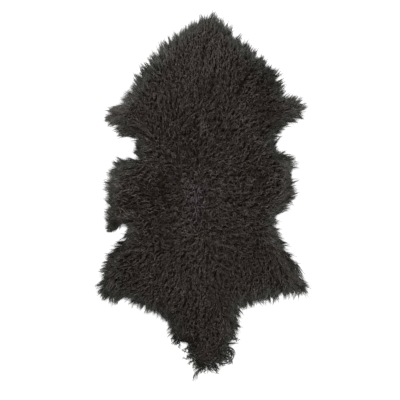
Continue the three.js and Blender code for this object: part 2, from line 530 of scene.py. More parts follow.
@dataclass
class PeltSurvey:
    """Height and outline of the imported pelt, felt out by rays from above."""

    step: float = 3 * MM
    margin: float = 60 * MM
    ray_start: float = 1.0
    rim_height: float = 8.4 * MM
    rim_offset: float = 0.5
    height_passes: int = 8
    outline_passes: int = 2
    hollow_passes: int = 80
    height: Field = field(init=False)
    hollow: Field = field(init=False)
    inland: Field = field(init=False)

    def __post_init__(self) -> None:
        """Feels out the pelt."""
        low = LOW - self.margin
        counts = np.ceil((HIGH + self.margin - low) / self.step).astype(int) + 1
        tops = self.feel(low, counts)
        on_pelt = tops > self.rim_height
        self.height = Field(low, self.step, blurred(np.where(on_pelt, tops, 0.0), self.height_passes))
        distance = blurred(self.distance_to_rim(on_pelt), self.outline_passes)
        distance = distance - summed(RIM_SHIFTS, grid_points(low, self.step, counts), MM)
        self.inland = Field(low, self.step, distance)
        self.hollow = Field(low, self.step, blurred(distance, self.hollow_passes) - distance)

    def feel(self, low: Array, counts: Array) -> Array:
        """Drops a ray on each point of the grid.

        Args:
            low: Lowest x and y of the grid.
            counts: Number of points along x and y.

        Returns:
            The height of the solid at each point, 0 beside it.
        """
        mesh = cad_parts[NODE].data
        corners = [vertex.co.copy() for vertex in mesh.vertices]
        tree = BVHTree.FromPolygons(corners, [tuple(face.vertices) for face in mesh.polygons])
        tops = np.zeros(counts)
        down = Vector((0, 0, -1))
        for i, j in np.ndindex(*counts):
            start = Vector((low[0] + i * self.step, low[1] + j * self.step, self.ray_start))
            hit = tree.ray_cast(start, down)[0]
            tops[i, j] = hit.z if hit else 0.0
        return tops

    def distance_to_rim(self, on_pelt: Array) -> Array:
        """Measures how far each point of the grid lies from the rim.

        Args:
            on_pelt: Which points lie on the pelt.

        Returns:
            Distances in metres, above 0 on the pelt and below 0 beside it.
        """
        padded = np.pad(on_pelt, 1)
        inner = padded[:-2, 1:-1] & padded[2:, 1:-1] & padded[1:-1, :-2] & padded[1:-1, 2:]
        rim = np.argwhere(on_pelt & ~inner).astype(np.float32)
        distances = np.zeros(on_pelt.shape, np.float32)
        columns = np.arange(on_pelt.shape[1], dtype=np.float32)
        for i in range(on_pelt.shape[0]):
            gaps = (rim[:, 0] - i) ** 2 + (rim[:, 1] - columns[:, None]) ** 2
            distances[i] = np.sqrt(gaps.min(axis=1))
        return (np.where(on_pelt, distances, -distances) + self.rim_offset) * self.step

    def scatter(self, pitch: float, inland: float, rng: Draws) -> Array:
        """Spreads points over the pelt, one in each small square.

        Args:
            pitch: Side of the squares.
            inland: Least distance from the rim.
            rng: Source of unevenness.

        Returns:
            Points of the floor.
        """
        counts = np.ceil((HIGH - LOW) / pitch).astype(int)
        corners = np.stack(np.indices(counts), axis=-1).reshape(-1, 2)
        places = LOW + (corners + rng.uniform(0, 1, corners.shape)) * pitch
        return places[self.inland.at(places) > inland]


@dataclass(frozen=True)
class Comb:
    """The lie of the wool: away from a parting on the back, in slow swirls, and outwards near the rim."""

    front: tuple[float, float] = (-17 * MM, 55 * MM)
    back: tuple[float, float] = (-2 * MM, -95 * MM)
    half_width: float = 24 * MM
    swirl: float = math.radians(34)
    swirl_length: float = 58 * MM
    rim_reach: float = 42 * MM
    rim_pull: float = 0.35
    rim_straight: float = 0.6
    straight_reach: float = 50 * MM
    neck_straight: float = 0.35
    neck_combed: float = 0.5
    furrow_turn: float = math.radians(16)
    neck_start: float = 220 * MM
    neck_length: float = 150 * MM
    tail_end: float = -380 * MM
    tail_length: float = 70 * MM
    middle: float = -20 * MM
    middle_length: float = 150 * MM
    seed: int = 11

    def from_parting(self, places: Array) -> Array:
        """Finds the way from the nearest point of the parting.

        Args:
            places: Points of the floor.

        Returns:
            A vector for each place, as long as its distance from the parting.
        """
        front, back = np.array(self.front), np.array(self.back)
        line = back - front
        share = np.clip(((places - front) @ line) / (line @ line), 0, 1)
        return places - front - share[..., None] * line

    def at_parting(self, places: Array) -> Array:
        """How much each place belongs to the parting, from 0 to 1."""
        distance = np.linalg.norm(self.from_parting(places), axis=-1)
        return np.exp(-((distance / self.half_width) ** 2))

    def at_neck(self, places: Array) -> Array:
        """How much each place belongs to the neck, from 0 to 1."""
        return eased((places[..., 1] - self.neck_start) / self.neck_length)

    def freedom(self, places: Array) -> Array:
        """How freely the wool may stray from its lie: less at the neck, where it is combed."""
        return 1 - self.neck_combed * self.at_neck(places)

    def at_ends(self, places: Array) -> Array:
        """How far each place is from the middle of the back, towards 1 at the neck and the tail."""
        return 1 - np.exp(-(((places[..., 1] - self.middle) / self.middle_length) ** 2))

    def curliness(self, places: Array, survey: PeltSurvey) -> Array:
        """Finds how tightly the wool curls: less towards the rim and the neck, but not at the tail.

        Args:
            places: Points of the floor.
            survey: The pelt.

        Returns:
            A share of the full curl for each place.
        """
        rim = self.rim_straight * np.clip(1 - survey.inland.at(places) / self.straight_reach, 0, 1)
        neck = self.neck_straight * self.at_neck(places)
        curly = 1 - np.maximum(rim, neck) * eased((places[..., 1] - self.tail_end) / self.tail_length)
        return curly * (1 - summed(COMBED_PATCHES, places))

    def lie(self, places: Array, survey: PeltSurvey) -> Array:
        """Finds the direction in which the wool lies.

        Args:
            places: Points of the floor.
            survey: The pelt.

        Returns:
            A vector of length one for each place.
        """
        away = unit(self.from_parting(places))
        outwards = unit(-survey.inland.slope(places))
        near = self.rim_pull * np.clip(1 - survey.inland.at(places) / self.rim_reach, 0, 1)[..., None]
        swirl = self.swirl * self.freedom(places) * SlowNoise(self.swirl_length, self.seed).at(places)
        swirl = swirl + np.radians(summed(LIE_TURNS, places))
        swirl = swirl + self.furrow_turn * sum(line.sideways(places) for line in FURROW_LINES.values())
        return turned(unit(away * (1 - near) + outwards * near), swirl)


@dataclass
class Furrows:
    """Streaks along the lie of the wool: above 0 where it stands proud, below 0 where it parts."""

    # Locks sink into the parts and get painted shade there, and painted light where the wool stands proud.
    survey: PeltSurvey
    comb: Comb
    steps: int = 10
    stride: float = 4 * MM
    deepest: float = 5.0
    proudest: float = 1.6
    seed: int = 17
    streaks: Field = field(init=False)

    def __post_init__(self) -> None:
        """Draws even grain out along the wool, both ways from each point."""
        low, step, shape = self.survey.height.low, self.survey.height.step, self.survey.height.values.shape
        grain = Field(low, step, np.random.default_rng(self.seed).normal(0, 1, shape))
        places = grid_points(low, step, shape)
        total = np.zeros(shape)
        for way in (-1, 1):
            walk = places
            for _ in range(self.steps):
                total += grain.at(walk)
                walk = walk + way * self.stride * self.comb.lie(walk, self.survey)
        streaks = (total - total.mean()) / total.std() + summed(FURROW_LINES, places)
        self.streaks = Field(low, step, np.clip(streaks, -self.deepest, self.proudest))


@dataclass
class Tufts:
    """Small bundles of locks that lie together, curl together and end in one point."""

    survey: PeltSurvey
    comb: Comb
    furrows: Furrows
    pitch: float = 7 * MM
    stray: float = math.radians(26)
    lift: float = 1.5 * MM
    reach: float = 6 * MM
    seed: int = 21
    centres: Array = field(init=False)
    lies: Array = field(init=False)
    lifts: Array = field(init=False)
    reaches: Array = field(init=False)
    tones: Array = field(init=False)
    phases: Array = field(init=False)
    tree: KDTree = field(init=False)

    def __post_init__(self) -> None:
        """Lays the tufts out over the pelt."""
        rng = np.random.default_rng(self.seed)
        self.centres = self.survey.scatter(self.pitch, 0.0, rng)
        count = len(self.centres)
        stray = self.stray * self.comb.freedom(self.centres) * rng.normal(0, 1, count)
        self.lies = turned(self.comb.lie(self.centres, self.survey), stray)
        self.lifts = rng.uniform(-1, 1, count) * self.lift
        self.reaches = rng.uniform(-1, 1, count) * self.reach * (1 + summed(RAGGED_PATCHES, self.centres))
        self.tones = rng.normal(0, 1, count)
        self.phases = rng.uniform(0, 2 * math.pi, count)
        self.tree = KDTree(count)
        for number, centre in enumerate(self.centres):
            self.tree.insert((*centre, 0), number)
        self.tree.balance()

    def nearest(self, places: Array) -> Array:
        """Number of the tuft that each place belongs to."""
        return np.array([self.tree.find((*place, 0))[1] for place in places])


@dataclass
class LockBatch:
    """Many locks of one number of stations: their paths, thicknesses, tones and shades."""

    paths: Array
    radii: Array
    tones: Array
    kinds: Array

    def picked(self, which: Array) -> "LockBatch":
        """The locks that a mask picks."""
        return LockBatch(self.paths[which], self.radii[which], self.tones[which], self.kinds[which])

    @staticmethod
    def joined(batches: list["LockBatch"]) -> "LockBatch":
        """All the locks of several batches with the same number of stations."""
        parts = ("paths", "radii", "tones", "kinds")
        return LockBatch(*(np.concatenate([getattr(batch, part) for batch in batches]) for part in parts))

    def mesh(self, name: str) -> Piece:
        """Makes one joined mesh of closed three-sided locks that taper to a point.

        Args:
            name: Name of the piece.

        Returns:
            The piece, with a map that gives each tone and shade a cell of its own.
        """
        count, stations = self.radii.shape
        rings = stations - 1
        along = unit(np.gradient(self.paths, axis=1))
        side = unit(np.cross(along, UP))
        over = np.cross(side, along)
        angles = 2 * math.pi * np.arange(SIDES)[:, None] / SIDES
        around = side[:, :rings, None] * np.cos(angles) + over[:, :rings, None] * np.sin(angles)
        rims = self.paths[:, :rings, None] + around * self.radii[:, :rings, None, None]
        corners = np.concatenate([rims.reshape(count, rings * SIDES, 3), self.paths[:, -1:]], axis=1)

        faces, girths, lengths = self.lock_faces(rings)
        per_lock = rings * SIDES + 1
        indices = (np.arange(count)[:, None, None] * per_lock + faces).reshape(-1)
        across = (self.tones[:, None, None] + girths).reshape(-1) / TONES
        up = (self.kinds[:, None, None] + lengths).reshape(-1) / len(WoolKind)

        data = bpy.data.meshes.new(name)
        data.vertices.add(count * per_lock)
        data.vertices.foreach_set("co", corners.astype(np.float32).reshape(-1))
        data.loops.add(len(indices))
        data.loops.foreach_set("vertex_index", indices.astype(np.int32))
        data.polygons.add(len(indices) // 3)
        data.polygons.foreach_set("loop_start", np.arange(0, len(indices), 3, dtype=np.int32))
        data.polygons.foreach_set("material_index", np.repeat(self.kinds, len(faces)).astype(np.int32))
        data.polygons.foreach_set("use_smooth", np.ones(len(indices) // 3, bool))
        cells = data.uv_layers.new(name=LOCK_MAP)
        cells.data.foreach_set("uv", np.stack([across, up], axis=-1).astype(np.float32).reshape(-1))
        data.update(calc_edges=True)
        data.validate()
        return placed(name, data)

    @staticmethod
    def lock_faces(rings: int) -> tuple[Array, Array, Array]:
        """Lists the triangles of one lock.

        Args:
            rings: Number of three-sided rings before the tip.

        Returns:
            Corner numbers, and each corner's share of the girth and of the length.
        """
        rows = []
        for ring in range(rings):
            upper = ring + 1
            for side in range(SIDES):
                beyond = side + 1
                here, beside = ring * SIDES + side, ring * SIDES + beyond % SIDES
                if upper == rings:
                    tip = rings * SIDES
                    rows.append(((here, tip, beside), (side, side + 0.5, beyond), (ring, upper, ring)))
                    continue
                above, across = here + SIDES, beside + SIDES
                rows.append(((here, above, across), (side, side, beyond), (ring, upper, upper)))
                rows.append(((here, across, beside), (side, beyond, beyond), (ring, upper, ring)))
        rows.append((range(SIDES), range(SIDES), (0, 0, CAP_RISE)))
        faces, sides, heights = (np.array(column) for column in zip(*rows))
        inner = 1 - 2 * CELL_MARGIN
        return faces, CELL_MARGIN + inner * sides / SIDES, CELL_MARGIN + inner * heights / rings


@dataclass(frozen=True)
class LockGrowth:
    """Sizes of one kind of lock and how it grows out of the pelt.

    A pair of numbers is the least and the most of the usual size that a single lock has.
    """

    stations: int
    length: float
    radius: float
    curl: float
    curl_length: float
    stray: float
    reach: float
    seed: int
    depth: float = 0.0
    uneven: float = 0.3
    gather: float = 0.3
    gather_power: float = 1.3
    reach_uneven: float = 8 * MM
    tone: float = 0.6
    tone_spread: float = 0.225
    patch_tone: float = 0.085
    patch_length: float = 45 * MM
    root_level: float = 0.55
    rise: float = 0.4
    tip_lift: float = 0.0
    looks: int = 14
    least: float = 0.25
    pile: float = 36 * MM
    ruffle: float = 1.3
    furrow: float = 0.9 * MM
    point: float = 0.0
    hollow_pull: float = 1.2
    corner_push: float = 0.9
    settle: float = 0.0
    combed_out: float = 0.5
    calm: float = 0.0
    phase_spread: float = 1.2
    curl_lengths: Span = (0.8, 1.2)
    curl_sizes: Span = (0.6, 1.4)
    curl_onset: float = 2.2
    root_width: float = 0.55
    root_swell: float = 3.0
    taper_start: float = 0.4
    tip: float = 0.25
    radii: Span = (0.75, 1.25)
    tuft_tone: float = 0.05
    # Painted shade: how much darker locks are in furrows and deep in the pile, and lighter on ridges.
    furrow_shade: float = 0.05
    line_shade: float = 0.07
    tier_shade: float = 0.3
    grey_depth: float = 26 * MM
    grey_uneven: float = 0.35
    grey_length: float = 50 * MM
    grey_seed: int = 5
    even_mix: float = 0.5

    def grow(self, roots: Array, tufts: Tufts, extra_reach: Array | float = 0.0) -> LockBatch:
        """Grows a lock from each root, over the pile and down to the floor past the rim.

        Args:
            roots: Points of the floor at which locks start.
            tufts: The bundles that the locks belong to.
            extra_reach: How much further past the rim than usual each lock may end.

        Returns:
            The locks.
        """
        rng = np.random.default_rng(self.seed)
        count = len(roots)
        survey, comb = tufts.survey, tufts.comb
        tuft = tufts.nearest(roots)
        stray = self.stray + self.ruffle * comb.at_parting(roots)
        lie = turned(tufts.lies[tuft], stray * rng.normal(0, 1, count))
        side = turned(lie, np.full(count, math.pi / 2))
        drift = ((roots - tufts.centres[tuft]) * side).sum(axis=-1)
        reach = self.reach + extra_reach + tufts.reaches[tuft] + self.reach_uneven * rng.uniform(-1, 1, count)
        reach = reach - self.point * (1 - summed(BLUNT_PATCHES, roots)) * np.abs(drift)
        length = self.length * (1 + self.uneven * rng.uniform(-1, 1, count))
        length = length * (1 - self.settle * comb.at_ends(roots))
        length = length * (1 + self.combed_out * summed(COMBED_PATCHES, roots))
        length = self.fitted(roots, lie * length[:, None], reach, survey) * length
        share = np.linspace(0, 1, self.stations)
        run = length[:, None] * share
        swing = -self.gather * drift[:, None] * share**self.gather_power
        flat = roots[:, None] + lie[:, None] * run[..., None] + side[:, None] * swing[..., None]

        tier = rng.uniform(0, 1, count)
        top = survey.height.at(flat)
        streaks = tufts.furrows.streaks.at(flat)
        sunk = (self.depth * tier[:, None] - self.furrow * streaks) * np.minimum(top / self.pile, 1)
        level = self.root_level + (1 - self.root_level) * eased(share / self.rise)
        height = (top - sunk) * level + tufts.lifts[tuft][:, None] * share + self.tip_lift * share**2

        phase = tufts.phases[tuft] + rng.normal(0, self.phase_spread, count)
        turns = run / (self.curl_length * rng.uniform(*self.curl_lengths, count)[:, None])
        angle = 2 * math.pi * turns + phase[:, None]
        curliness = comb.curliness(roots, survey) * rng.uniform(*self.curl_sizes, count)
        curl = self.curl * curliness[:, None] * eased(self.curl_onset * share)
        flat = flat + side[:, None] * (curl * np.cos(angle))[..., None]
        swell = self.root_width + (1 - self.root_width) * eased(self.root_swell * share)
        taper = 1 - (1 - self.tip) * eased((share - self.taper_start) / (1 - self.taper_start))
        radii = self.radius * rng.uniform(*self.radii, count)[:, None] * (swell * taper)
        height = np.maximum(height + curl * np.sin(angle), radii + FLOOR_GAP)
        paths = np.concatenate([flat, height[..., None]], axis=-1)

        station = self.stations // 2
        middles = flat[:, station]
        # The tuft's own tone, plus painted shade in furrows and deep in the pile and painted light on ridges.
        proud = self.tuft_tone * tufts.tones[tuft] + self.furrow_shade * streaks[:, station]
        proud = proud - self.tier_shade * tier + self.line_shade * summed(FURROW_LINES, middles)
        spread = self.tone_spread * (1 - self.calm * comb.at_ends(roots))
        tones = self.tones(roots, proud, spread, rng)
        return LockBatch(paths, radii, tones, self.kinds(middles, survey, rng))

    def fitted(self, roots: Array, runs: Array, reach: Array, survey: PeltSurvey) -> Array:
        """Finds how much of each lock is left when it may not reach too far past the rim.

        Args:
            roots: Points at which the locks start.
            runs: The way from each root to the end of the whole lock.
            reach: How far past a straight rim each lock may end.
            survey: The pelt.

        Returns:
            A share of each lock, of which locks in hollows keep less and those on corners more.
        """
        shares = np.linspace(0, 1, self.looks)
        places = roots[:, None] + runs[:, None] * shares[:, None]
        hollow = survey.hollow.at(places)
        limit = reach[:, None] - np.where(hollow > 0, self.hollow_pull, self.corner_push) * hollow
        limit = limit + summed(REACH_PATCHES, places, MM)
        clear = np.cumprod(-survey.inland.at(places) < limit, axis=1)
        return np.maximum(clear.sum(axis=1) / self.looks, self.least)

    def tones(self, roots: Array, proud: Array, spread: Array, rng: Draws) -> Array:
        """Gives each lock one of the even steps of tone.

        Args:
            roots: Points at which the locks start.
            proud: How much lighter or darker each lock is, by its tuft's own tone and by painted light and
                shade.
            spread: How much each lock may differ from its neighbours.
            rng: Source of unevenness.

        Returns:
            Whole numbers from 0, darkest, to TONES - 1.
        """
        uneven = self.patch_tone * SlowNoise(self.patch_length, self.seed + 1).at(roots)
        usual = -self.tier_shade / 2
        varied = proud - usual + uneven + spread * rng.normal(0, 1, len(roots))
        varied = varied * (1 + summed(CONTRAST_PATCHES, roots))
        tone = self.tone + usual + varied + summed(TONE_PATCHES, roots)
        return np.clip(np.floor(tone * TONES), 0, TONES - 1).astype(int)

    def kinds(self, middles: Array, survey: PeltSurvey, rng: Draws) -> Array:
        """Gives each lock its shade of wool by where it lies.

        Args:
            middles: The floor under the middle of each lock.
            survey: The pelt.
            rng: Source of unevenness.

        Returns:
            Whole numbers of WoolKind.
        """
        uneven = self.grey_uneven * SlowNoise(self.grey_length, self.grey_seed).at(middles)
        edge = 1 - survey.inland.at(middles) / self.grey_depth + uneven
        mixed = np.minimum(summed(MIXED_PATCHES, middles), 1)
        edge = (edge + summed(GREY_PATCHES, middles)) * (1 - mixed) + self.even_mix * mixed
        count = len(middles)
        kinds = np.full(count, WoolKind.BACK.value)
        kinds[rng.uniform(0, 1, count) < PURPLE_PATCH.at(middles)] = WoolKind.PARTING.value
        kinds[rng.uniform(0, 1, count) < edge] = WoolKind.RIM.value
        return kinds


@dataclass
class PaintGroup:
    """A shader node group that mixes a dark and a light colour and gives the normal of a fine grain."""

    name: str
    amounts: tuple[str, ...]
    tree: NodeTree = field(init=False)
    source: bpy.types.Node = field(init=False)
    sink: bpy.types.Node = field(init=False)

    def __post_init__(self) -> None:
        """Starts the group, with an input for each colour and each amount."""
        self.tree = bpy.data.node_groups.new(self.name, "ShaderNodeTree")
        sockets = [("INPUT", "Color", "dark"), ("INPUT", "Color", "light")]
        sockets += [("INPUT", "Float", amount) for amount in self.amounts]
        sockets += [("OUTPUT", "Color", "Color"), ("OUTPUT", "Vector", "Normal")]
        for way, kind, label in sockets:
            self.tree.interface.new_socket(label, in_out=way, socket_type=f"NodeSocket{kind}")
        self.source = self.tree.nodes.new("NodeGroupInput")
        self.sink = self.tree.nodes.new("NodeGroupOutput")

    def node(self, kind: str, values: dict[str | int, object], **settings: object) -> bpy.types.Node:
        """Adds a node.

        Args:
            kind: The end of Blender's name for this type of shader node.
            values: A socket or a plain value for each input that is used.
            settings: The node's own settings.

        Returns:
            The node.
        """
        node = self.tree.nodes.new(f"ShaderNode{kind}")
        for setting, value in settings.items():
            setattr(node, setting, value)
        for label, value in values.items():
            if isinstance(value, Socket):
                self.tree.links.new(value, node.inputs[label])
            else:
                node.inputs[label].default_value = value
        return node

    def calculated(self, kind: str, *values: Value) -> Socket:
        """What comes out of a Math node of one of Blender's kinds."""
        return self.node("Math", dict(enumerate(values)), operation=kind).outputs[0]

    def product(self, *values: Value) -> Socket:
        """What comes out when all values are multiplied."""
        return reduce(partial(self.calculated, "MULTIPLY"), values)

    def noise(self, place: Socket, scale: Value, detail: float, roughness: float = 0.5) -> Socket:
        """A noise texture at some place, with values about one half."""
        values = {"Vector": place, "Scale": scale, "Detail": detail, "Roughness": roughness}
        return self.node("TexNoise", values).outputs["Fac"]

    def ranged(self, value: Socket, span: Span, least: Value = 0.0, ease: Ease = Ease.EVEN) -> Socket:
        """How far a value is along a span, from a least share up to 1."""
        values = {"Value": value, "From Min": span[0], "From Max": span[1], "To Min": least}
        return self.node("MapRange", values, interpolation_type=ease.value).outputs["Result"]

    def close(self, share: Socket, grain: Socket, strength: Socket, relief: float) -> NodeTree:
        """Joins up the group's outputs.

        Args:
            share: How far the colour is from dark to light.
            grain: Height of the grain.
            strength: How strongly the grain shows.
            relief: How high it stands.

        Returns:
            The finished group.
        """
        given = self.source.outputs
        mix = self.node("Mix", {"Factor": share, "A": given["dark"], "B": given["light"]}, data_type="RGBA")
        bump = self.node("Bump", {"Distance": relief, "Strength": strength, "Height": grain})
        self.tree.links.new(mix.outputs["Result"], self.sink.inputs["Color"])
        self.tree.links.new(bump.outputs["Normal"], self.sink.inputs["Normal"])
        return self.tree


def lock_paint() -> NodeTree:
    """Makes the group that colours a lock by its tone, with painted shade from root to tip and along its
    crimps.

    Returns:
        The group.
    """
    group = PaintGroup("lock_paint", ("darkest", "root", "crest", "tip", "streak_and_crimp_shade", "fibre"))
    given = group.source.outputs
    cell = group.node("UVMap", {}, uv_map=LOCK_MAP).outputs["UV"]
    parts = group.node("SeparateXYZ", {"Vector": cell}).outputs
    across = group.product(parts["X"], float(TONES))
    girth = group.calculated("FRACT", across)
    tone = group.calculated("DIVIDE", group.calculated("FLOOR", across), float(TONES - 1))
    length = group.calculated("FRACT", group.product(parts["Y"], float(len(WoolKind))))

    # Streaks around the lock and bands along it, the bands being painted light and shade of its crimps.
    strand = {
        "X": group.product(girth, float(STREAKS_AROUND)),
        "Y": group.product(length, float(CRIMP_SHADES_ALONG)),
        "Z": group.product(tone, float(TONES)),
    }
    grain = group.noise(group.node("CombineXYZ", strand).outputs["Vector"], STREAK_SCALE, STREAK_DETAIL)
    streak_and_crimp_shade = group.ranged(grain, STREAK_SPAN, given["streak_and_crimp_shade"])

    gain = group.ranged(tone, WHOLE, given["darkest"])
    # Painted shade at the buried root, lightening up to the crest; past the crest a lock darkens again.
    risen = group.calculated("DIVIDE", group.calculated("PINGPONG", length, given["crest"]), given["crest"])
    root_shade = group.ranged(risen, WHOLE, given["root"], Ease.SOFT)
    outer_half = group.calculated("MAXIMUM", group.calculated("MULTIPLY_ADD", length, 2.0, -1.0), 0.0)
    tipped = group.calculated("MULTIPLY_ADD", outer_half, given["tip"], 1.0)
    return group.close(group.product(gain, root_shade, tipped, streak_and_crimp_shade), grain, given["fibre"], STREAK_RELIEF)


def nap_paint() -> NodeTree:
    """Makes the group that mottles a felted or buffed surface and raises its nap.

    Returns:
        The group.
    """
    group = PaintGroup("nap_paint", ("patch_scale", "nap_scale", "nap"))
    given = group.source.outputs
    place = group.node("TexCoord", {}).outputs["Object"]
    mottle = group.noise(place, given["patch_scale"], MOTTLE_DETAIL, MOTTLE_ROUGHNESS)
    nap = group.noise(place, given["nap_scale"], NAP_DETAIL)
    return group.close(group.ranged(mottle, MOTTLE_SPAN), nap, given["nap"], NAP_RELIEF)


@dataclass(frozen=True)
class Finish:
    """A finish that a shared group paints, with a field for each input of the group."""

    name: str
    dark: tuple[float, float, float]
    light: tuple[float, float, float]
    _: KW_ONLY
    roughness: float = 0.45
    specular: float = 0.05
    sheen: float = 0.0
    sheen_roughness: float = 0.6

    def material(self, group: NodeTree) -> bpy.types.Material:
        """Makes the material.

        Args:
            group: The shared group.

        Returns:
            The material, whose colour and normal come from the group.
        """
        material = bpy.data.materials.new(self.name)
        material.use_nodes = True
        tree = material.node_tree
        shader = tree.nodes["Principled BSDF"]
        shader.inputs["Roughness"].default_value = self.roughness
        shader.inputs["Specular IOR Level"].default_value = self.specular
        shader.inputs["Sheen Weight"].default_value = self.sheen
        shader.inputs["Sheen Roughness"].default_value = self.sheen_roughness
        paint = tree.nodes.new("ShaderNodeGroup")
        paint.node_tree = group
        for socket in paint.inputs:
            value = getattr(self, socket.name)
            socket.default_value = (*value, 1) if isinstance(value, tuple) else value
        tree.links.new(paint.outputs["Color"], shader.inputs["Base Color"])
        tree.links.new(paint.outputs["Normal"], shader.inputs["Normal"])
        return material


@dataclass(frozen=True)
class WoolFinish(Finish):
    """One shade of dyed wool, warm where it is dark and greyer where it is light."""

    darkest: float = 0.05
    # How dark a lock is at its root, as painted shade where it is buried in the pile.
    root: float = 0.15
    crest: float = 0.62
    tip: float = 0.0
    # How dark the streaks get, the bands along a lock being painted crimp shade.
    streak_and_crimp_shade: float = 0.18
    fibre: float = 0.5


@dataclass(frozen=True)
class NapFinish(Finish):
    """Felted wool or buffed skin."""

    patch_scale: float
    nap_scale: float
    nap: float
    _: KW_ONLY
    roughness: float = 0.95
    specular: float = 0.12
    sheen: float = 0.1


WOOL_FINISHES = {
    WoolKind.BACK: WoolFinish("wool_charcoal", (0.0134, 0.0074, 0.0045), (0.219, 0.191, 0.176)),
    WoolKind.RIM: WoolFinish(
        "wool_rim_grey", (0.0080, 0.0074, 0.0042), (0.240, 0.239, 0.218), crest=1.0, tip=2.5
    ),
    WoolKind.PARTING: WoolFinish("wool_parting", (0.0143, 0.0072, 0.0083), (0.249, 0.215, 0.235)),
}
UNDERCOAT = NapFinish("undercoat_felt", (0.0122, 0.0073, 0.0050), (0.035, 0.0222, 0.0162), 60.0, 420.0, 0.8)
SUEDE = NapFinish("tanned_suede", (0.13, 0.105, 0.085), (0.20, 0.165, 0.135), 14.0, 1500.0, 0.35)


@dataclass
class Layer:
    """A flat layer of the pelt that follows its outline a little inside the rim."""

    survey: PeltSurvey
    name: str
    step: float
    inset: float
    bottom: float
    edge_passes: int = 3
    edge_pull: float = 0.5

    def plan(self) -> bmesh.types.BMesh:
        """Cuts a grid to the pelt's outline and draws its edge onto the inset line.

        Returns:
            A flat mesh at the layer's bottom.
        """
        sheet = bmesh.new()
        width, length = HIGH - LOW
        across, along = math.ceil(width / self.step), math.ceil(length / self.step)
        bmesh.ops.create_grid(sheet, x_segments=across, y_segments=along, size=0.5)
        bmesh.ops.scale(sheet, vec=(width, length, 1), verts=sheet.verts)
        inland = self.survey.inland
        outside = inland.at(np.array([face.calc_center_median()[:2] for face in sheet.faces])) < self.inset
        lost = [face for face, out in zip(sheet.faces, outside) if out]
        bmesh.ops.delete(sheet, geom=lost, context="FACES")
        for _ in range(self.edge_passes):
            edge = [vertex for vertex in sheet.verts if vertex.is_boundary]
            bmesh.ops.smooth_vert(sheet, verts=edge, factor=self.edge_pull, use_axis_x=True, use_axis_y=True)
            places = np.array([vertex.co[:2] for vertex in edge])
            outwards = unit(-inland.slope(places))
            moved = places + outwards * (inland.at(places) - self.inset)[:, None]
            for vertex, place in zip(edge, moved):
                vertex.co = (*place, 0)
        bmesh.ops.translate(sheet, vec=(0, 0, self.bottom), verts=sheet.verts)
        return sheet

    def raised(self, sheet: bmesh.types.BMesh, tops: Array) -> Piece:
        """Raises a plan into a closed layer.

        Args:
            sheet: The flat plan, which is used up.
            tops: Height of the layer's top over each vertex of the plan.

        Returns:
            The layer as an object.
        """
        for vertex, top in zip(sheet.verts, tops):
            vertex.co.z = top
        added = bmesh.ops.extrude_face_region(sheet, geom=sheet.faces[:])["geom"]
        for item in added:
            if isinstance(item, bmesh.types.BMVert):
                item.co.z = self.bottom
        bmesh.ops.recalc_face_normals(sheet, faces=sheet.faces)
        for face in sheet.faces:
            face.smooth = True
        return modelled(self.name, sheet)


@dataclass
class Skin(Layer):
    """The tanned skin, buffed to suede underneath, that the wool grows out of."""

    name: str = "skin"
    step: float = 12 * MM
    inset: float = 11 * MM
    bottom: float = 0.2 * MM
    thickness: float = 1.8 * MM
    area: float = 0.0

    def build(self) -> Piece:
        """Builds the skin and keeps its flat area.

        Returns:
            The skin.
        """
        sheet = self.plan()
        self.area = sum(face.calc_area() for face in sheet.faces)
        return self.raised(sheet, np.full(len(sheet.verts), self.bottom + self.thickness))


@dataclass
class Undercoat(Layer):
    """The short dense wool next to the skin, which shows dark between the locks."""

    name: str = "undercoat"
    step: float = 9 * MM
    inset: float = 10 * MM
    bottom: float = 2.2 * MM
    share: float = 0.62
    thinnest: float = 1.5 * MM
    lumps: float = 2.2 * MM
    lump_length: float = 14 * MM
    seed: int = 31

    def build(self) -> Piece:
        """Builds the undercoat as a lumpy slab under the tips of the wool.

        Returns:
            The undercoat.
        """
        sheet = self.plan()
        places = np.array([vertex.co[:2] for vertex in sheet.verts])
        lumps = self.lumps * SlowNoise(self.lump_length, self.seed).at(places)
        tops = self.survey.height.at(places) * self.share + lumps
        return self.raised(sheet, np.maximum(tops, self.bottom + self.thinnest))


@dataclass(frozen=True)
class Curl:
    """A loose curl at the rim, a few strands that set out one way and bend steadily to the left.

    Place and sizes are in millimetres, heading and bend in degrees, and a bend below 0 is to the right.
    A pair of numbers is the least and the most of the usual bend or size that a single strand has.
    """

    x: float
    y: float
    heading: float
    length: float
    bend: float
    strands: int
    spread: float
    radius: float
    stations: int = 14
    bends: Span = (0.85, 1.15)
    lengths: Span = (0.65, 1.0)
    radii: Span = (0.7, 1.2)
    fan: float = 0.08
    taper: float = 0.8
    level: float = 0.8

    def grow(self, survey: PeltSurvey, rng: Draws) -> LockBatch:
        """Grows the curl's strands from the pile down to the floor.

        Args:
            survey: The pelt.
            rng: Source of unevenness.

        Returns:
            The strands.
        """
        count = self.strands
        share = np.linspace(0, 1, self.stations)
        bend = np.radians(self.bend) * rng.uniform(*self.bends, count)
        angle = np.radians(self.heading) + rng.normal(0, self.fan, count)[:, None] + bend[:, None] * share
        length = self.length * MM * rng.uniform(*self.lengths, count)
        ways = np.stack([np.cos(angle), np.sin(angle)], axis=-1)
        steps = ways * (length / (self.stations - 1))[:, None, None]
        start = np.array([self.x, self.y]) * MM + rng.normal(0, self.spread * MM, (count, 2))
        flat = start[:, None] + np.cumsum(steps, axis=1) - steps[:, :1]
        radii = self.radius * MM * rng.uniform(*self.radii, count)[:, None] * (1 - self.taper * share**2)
        pile = self.level * survey.height.at(start)
        height = np.maximum(pile[:, None] * (1 - share) ** 2, radii + FLOOR_GAP)
        paths = np.concatenate([flat, height[..., None]], axis=-1)
        tones = rng.integers(*CURL_TONES, count)
        return LockBatch(paths, radii, tones, np.full(count, WoolKind.RIM.value))


